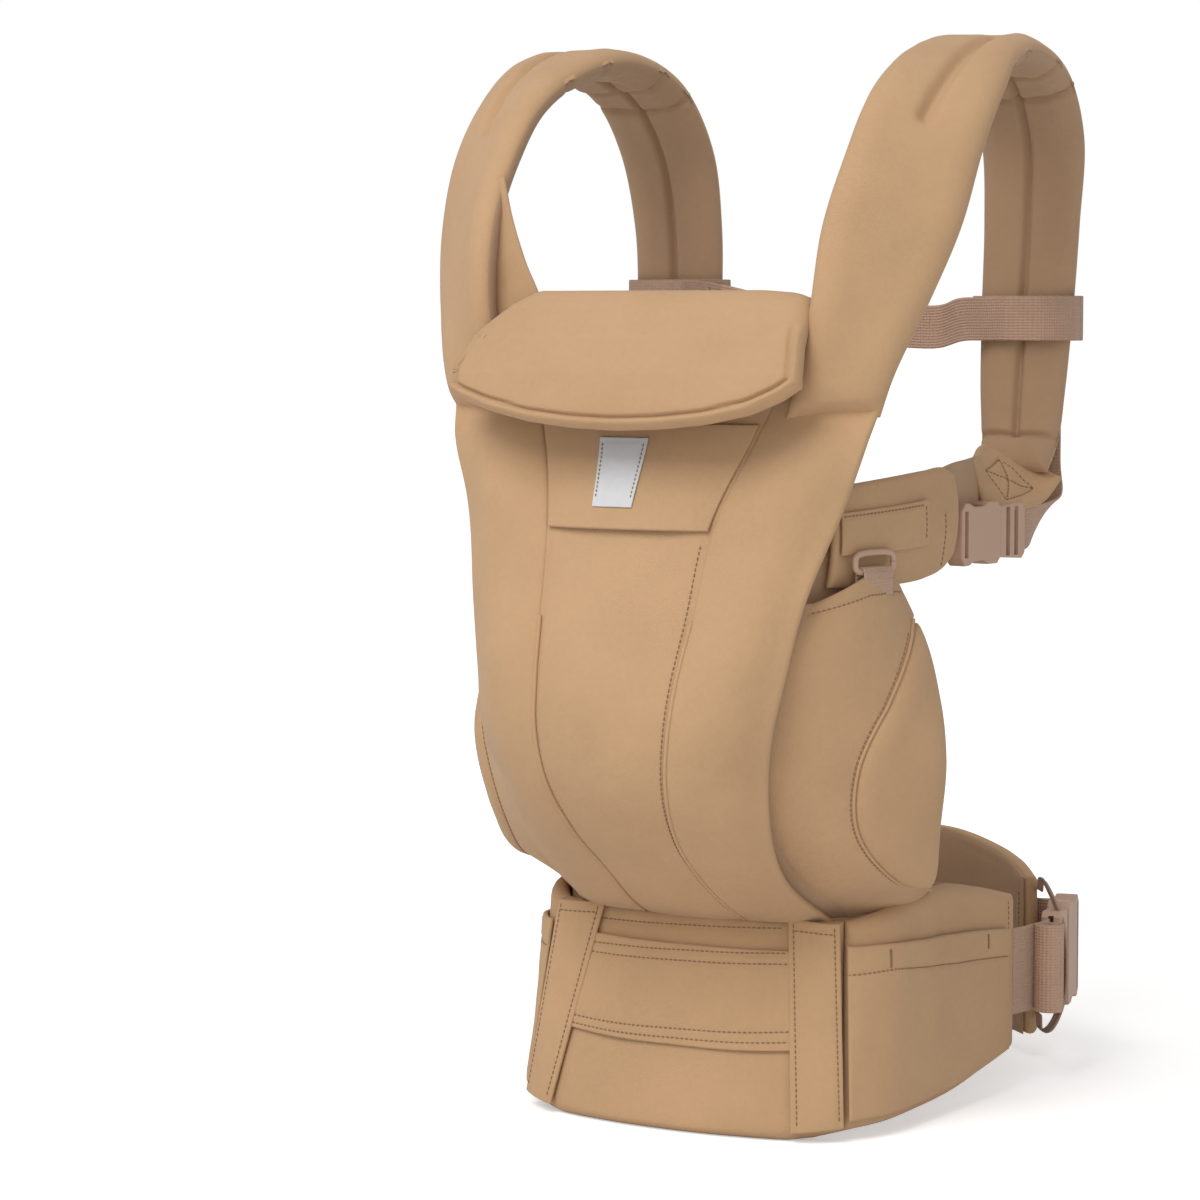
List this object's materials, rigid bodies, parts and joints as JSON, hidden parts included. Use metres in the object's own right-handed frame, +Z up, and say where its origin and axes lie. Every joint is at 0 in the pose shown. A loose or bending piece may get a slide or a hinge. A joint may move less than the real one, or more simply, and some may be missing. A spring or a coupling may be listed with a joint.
{
  "type": "soft baby carrier",
  "caption": "Soft structured baby carrier with a padded waist belt, seat pouch, fold-down head support, arched shoulder straps, chest strap and side-release buckles.",
  "frame": {"origin": "on the ground plane under the middle of the whole carrier's bounding box", "axes": "+Z up along the carrier's height, +X toward the right-hand side of the carrier seen from its front, +Y from the front panel toward the wearer"},
  "size_m": [0.3182, 0.4036, 0.5845],
  "materials": {
    "canvas": "matte woven cotton canvas, tan",
    "lining": "matte woven cotton lining, tan",
    "webbing": "matte woven narrow webbing, pinkish tan",
    "foam": "matte padding foam, off-white",
    "plastic": "satin moulded acetal, pinkish tan",
    "stiffener": "matte plastic sheet, off-white",
    "label": "matte woven label, blank, off-white"
  },
  "bodies": {
    "carrier": {"belt_front_cover": "canvas", "belt_front_foam": "foam", "belt_right_hip_cover": "canvas", "belt_right_hip_foam": "foam", "belt_left_hip_cover": "canvas", "belt_left_hip_foam": "foam", "belt_lining": "lining", "seat_patch": "canvas", "seat_tab_right": "canvas", "seat_tab_left": "canvas", "hip_pocket_right": "canvas", "hip_pocket_left": "canvas", "front_panel": "canvas", "side_wing_right": "canvas", "strap_right_cover": "canvas", "strap_right_foam": "foam", "strap_right_lining": "lining", "seat_side_right": "canvas", "thigh_pad_right": "canvas", "side_band_right": "canvas", "band_flap_right": "canvas", "strap_tongue_right": "canvas", "seat_ring_right": "plastic", "ring_tab_right": "webbing", "shoulder_socket_right": "plastic", "shoulder_webbing_right": "webbing", "side_wing_left": "canvas", "strap_left_cover": "canvas", "strap_left_foam": "foam", "strap_left_lining": "lining", "seat_side_left": "canvas", "thigh_pad_left": "canvas", "side_band_left": "canvas", "band_flap_left": "canvas", "strap_tongue_left": "canvas", "seat_ring_left": "plastic", "ring_tab_left": "webbing", "shoulder_socket_left": "plastic", "shoulder_webbing_left": "webbing", "waist_plug": "plastic", "waist_webbing": "webbing", "webbing_roll": "webbing"},
    "head_support": {"head_support_cover": "canvas", "head_support_foam": "foam", "head_support_lining": "lining"},
    "pocket_flap": {"pocket_flap": "canvas", "label": "label"},
    "shoulder_plug_right": {"shoulder_plug_right": "plastic"},
    "shoulder_plug_left": {"shoulder_plug_left": "plastic"},
    "chest_strap": {"chest_webbing_right": "webbing", "chest_webbing_left": "webbing", "chest_socket": "plastic"},
    "chest_plug": {"chest_plug": "plastic"},
    "belt_rear": {"belt_rear_cover": "canvas", "belt_rear_foam": "foam", "belt_rear_lining": "lining", "belt_rear_stiffener": "stiffener", "waist_socket": "plastic", "waist_socket_webbing": "webbing", "safety_loop": "webbing"}
  },
  "joints": [
    {"name": "head_support_fold", "type": "hinge", "parent": "carrier", "child": "head_support", "pos_m": [0, -0.1329, 0.4415], "axis": [-1, 0, 0], "range_deg": [0, 90]},
    {"name": "pocket_flap_lift", "type": "hinge", "parent": "carrier", "child": "pocket_flap", "pos_m": [0, -0.1507, 0.3785], "axis": [-1, 0, 0], "range_deg": [0, 45]},
    {"name": "shoulder_release_right", "type": "slide", "parent": "carrier", "child": "shoulder_plug_right", "axis": [0.143, 0.9897, 0], "range_m": [0, 0.02]},
    {"name": "shoulder_release_left", "type": "slide", "parent": "carrier", "child": "shoulder_plug_left", "axis": [-0.143, 0.9897, 0], "range_m": [0, 0.02]},
    {"name": "chest_strap_height", "type": "slide", "parent": "carrier", "child": "chest_strap", "axis": [0, 0, 1], "range_m": [-0.03, 0.03]},
    {"name": "chest_release", "type": "slide", "parent": "chest_strap", "child": "chest_plug", "axis": [1, 0, 0], "range_m": [0, 0.018]},
    {"name": "waist_belt_opening", "type": "hinge", "parent": "carrier", "child": "belt_rear", "pos_m": [-0.1195, 0.0676, 0.0675], "axis": [0, 0, 1], "range_deg": [0, 70]}
  ]
}
